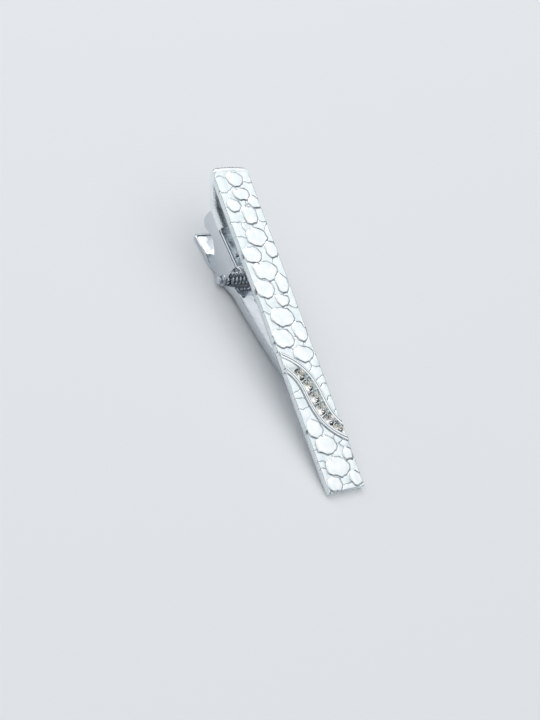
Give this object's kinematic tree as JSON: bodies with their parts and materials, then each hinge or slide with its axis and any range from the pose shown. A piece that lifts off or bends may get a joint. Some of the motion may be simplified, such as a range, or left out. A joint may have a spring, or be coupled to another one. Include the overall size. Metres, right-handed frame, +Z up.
{
  "type": "tie clip",
  "caption": "Tie clip: a crocodile-embossed silver-coloured bar with a curved band of clear crystals, and a sprung pinch clasp behind it.",
  "frame": {"origin": "middle of the underside's footprint, on the table that the clip stands on", "axes": "+X along the clip from its folded head towards its free tip, +Y across the bar, +Z up from the table"},
  "size_m": [0.057, 0.0082, 0.0129],
  "materials": {
    "plated_bar": "rhodium-look plated, embossed",
    "plated_clasp": "bright nickel plate",
    "plated_pin": "bright nickel plate",
    "plated_lever": "bright nickel plate",
    "spring_wire": "drawn wire, nickel-plated",
    "crystal": "faceted clear crystal"
  },
  "bodies": {
    "root": {"front_bar": "plated_bar", "clasp_bracket": "plated_clasp", "hinge_pin": "plated_pin", "torsion_spring": "spring_wire", "crystal_1": "crystal", "crystal_2": "crystal", "crystal_3": "crystal", "crystal_4": "crystal", "crystal_5": "crystal", "crystal_6": "crystal"},
    "lever": {"jaw_lever": "plated_lever"}
  },
  "joints": [
    {"name": "jaw_hinge", "type": "hinge", "parent": "root", "child": "lever", "pos_m": [-0.01348, 0, 0.00126], "axis": [0, 1, 0], "range_deg": [0, 18], "stiffness_Nm_per_rad": 0.02, "springref_deg": -34.38, "deforming": ["torsion_spring"]}
  ]
}
